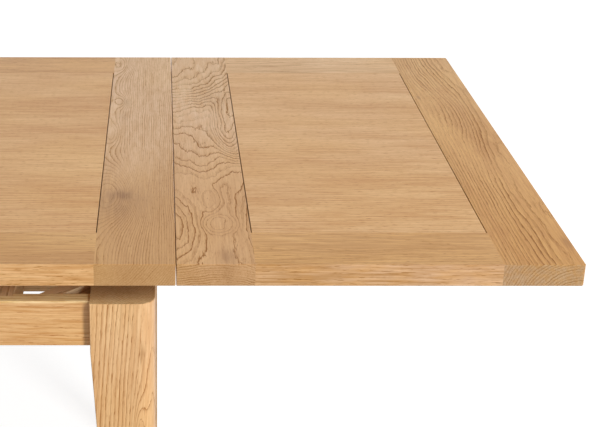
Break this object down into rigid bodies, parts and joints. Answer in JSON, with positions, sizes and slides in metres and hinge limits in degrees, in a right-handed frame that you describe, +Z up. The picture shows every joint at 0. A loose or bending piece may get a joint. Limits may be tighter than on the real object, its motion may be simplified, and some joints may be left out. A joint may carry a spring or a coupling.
{
  "type": "draw leaf table",
  "caption": "Oak draw leaf dining table: frame-and-panel top floating over pull-out end leaves on sloping lopers, with tapered legs bolted through corner braces.",
  "frame": {"origin": "on the floor, at the middle of the footprint with the right leaf drawn and the left leaf stowed", "axes": "+X along the table toward the drawn leaf, +Y across to the far long side, +Z up"},
  "size_m": [1.6506, 0.8, 0.75],
  "materials": {
    "oak_panel": "satin oiled oak",
    "oak_stile": "satin oiled oak",
    "oak_rail": "satin oiled oak",
    "oak_leg": "satin oiled oak",
    "oak_apron": "satin oiled oak",
    "oak_frame": "satin oiled oak",
    "oak_peg": "satin oiled oak",
    "zinc_steel": "zinc plated",
    "glide": "matte"
  },
  "bodies": {
    "base": {"back_apron": "oak_apron", "back_left_brace": "oak_frame", "back_left_glide": "glide", "back_left_leg": "oak_leg", "back_left_loper_guide": "oak_frame", "back_right_brace": "oak_frame", "back_right_glide": "glide", "back_right_leg": "oak_leg", "back_right_loper_guide": "oak_frame", "bolt_washers": "zinc_steel", "brace_screws": "zinc_steel", "centre_board": "oak_frame", "centre_board_screws": "zinc_steel", "front_apron": "oak_apron", "front_left_brace": "oak_frame", "front_left_glide": "glide", "front_left_leg": "oak_leg", "front_left_loper_guide": "oak_frame", "front_right_brace": "oak_frame", "front_right_glide": "glide", "front_right_leg": "oak_leg", "front_right_loper_guide": "oak_frame", "hanger_bolts": "zinc_steel", "hex_nuts": "zinc_steel", "left_apron": "oak_apron", "left_cross_rail": "oak_frame", "right_apron": "oak_apron", "right_cross_rail": "oak_frame"},
    "main_top": {"back_guide_peg": "oak_peg", "front_guide_peg": "oak_peg", "main_back_rail": "oak_rail", "main_front_rail": "oak_rail", "main_left_stile": "oak_stile", "main_panel": "oak_panel", "main_right_stile": "oak_stile"},
    "left_leaf": {"left_back_loper": "oak_frame", "left_front_loper": "oak_frame", "left_leaf_back_rail": "oak_rail", "left_leaf_front_rail": "oak_rail", "left_leaf_left_stile": "oak_stile", "left_leaf_panel": "oak_panel", "left_leaf_right_stile": "oak_stile", "left_loper_screws": "zinc_steel", "left_stop_pegs": "oak_peg"},
    "right_leaf": {"right_back_loper": "oak_frame", "right_front_loper": "oak_frame", "right_leaf_back_rail": "oak_rail", "right_leaf_front_rail": "oak_rail", "right_leaf_left_stile": "oak_stile", "right_leaf_panel": "oak_panel", "right_leaf_right_stile": "oak_stile", "right_loper_screws": "zinc_steel", "right_stop_pegs": "oak_peg"}
  },
  "joints": [
    {"name": "left_leaf_draw", "type": "slide", "parent": "base", "child": "left_leaf", "axis": [-0.9983, 0, 0.0587], "range_m": [0, 0.45148]},
    {"name": "top_lift", "type": "slide", "parent": "base", "child": "main_top", "axis": [0, 0, 1], "range_m": [0, 0.0275]},
    {"name": "right_leaf_draw", "type": "slide", "parent": "base", "child": "right_leaf", "axis": [0.9983, 0, 0.0587], "range_m": [-0.0005, 0]}
  ],
  "couplings": [
    {"joint": "top_lift", "follows": "left_leaf_draw", "ratio": 0.058696}
  ]
}
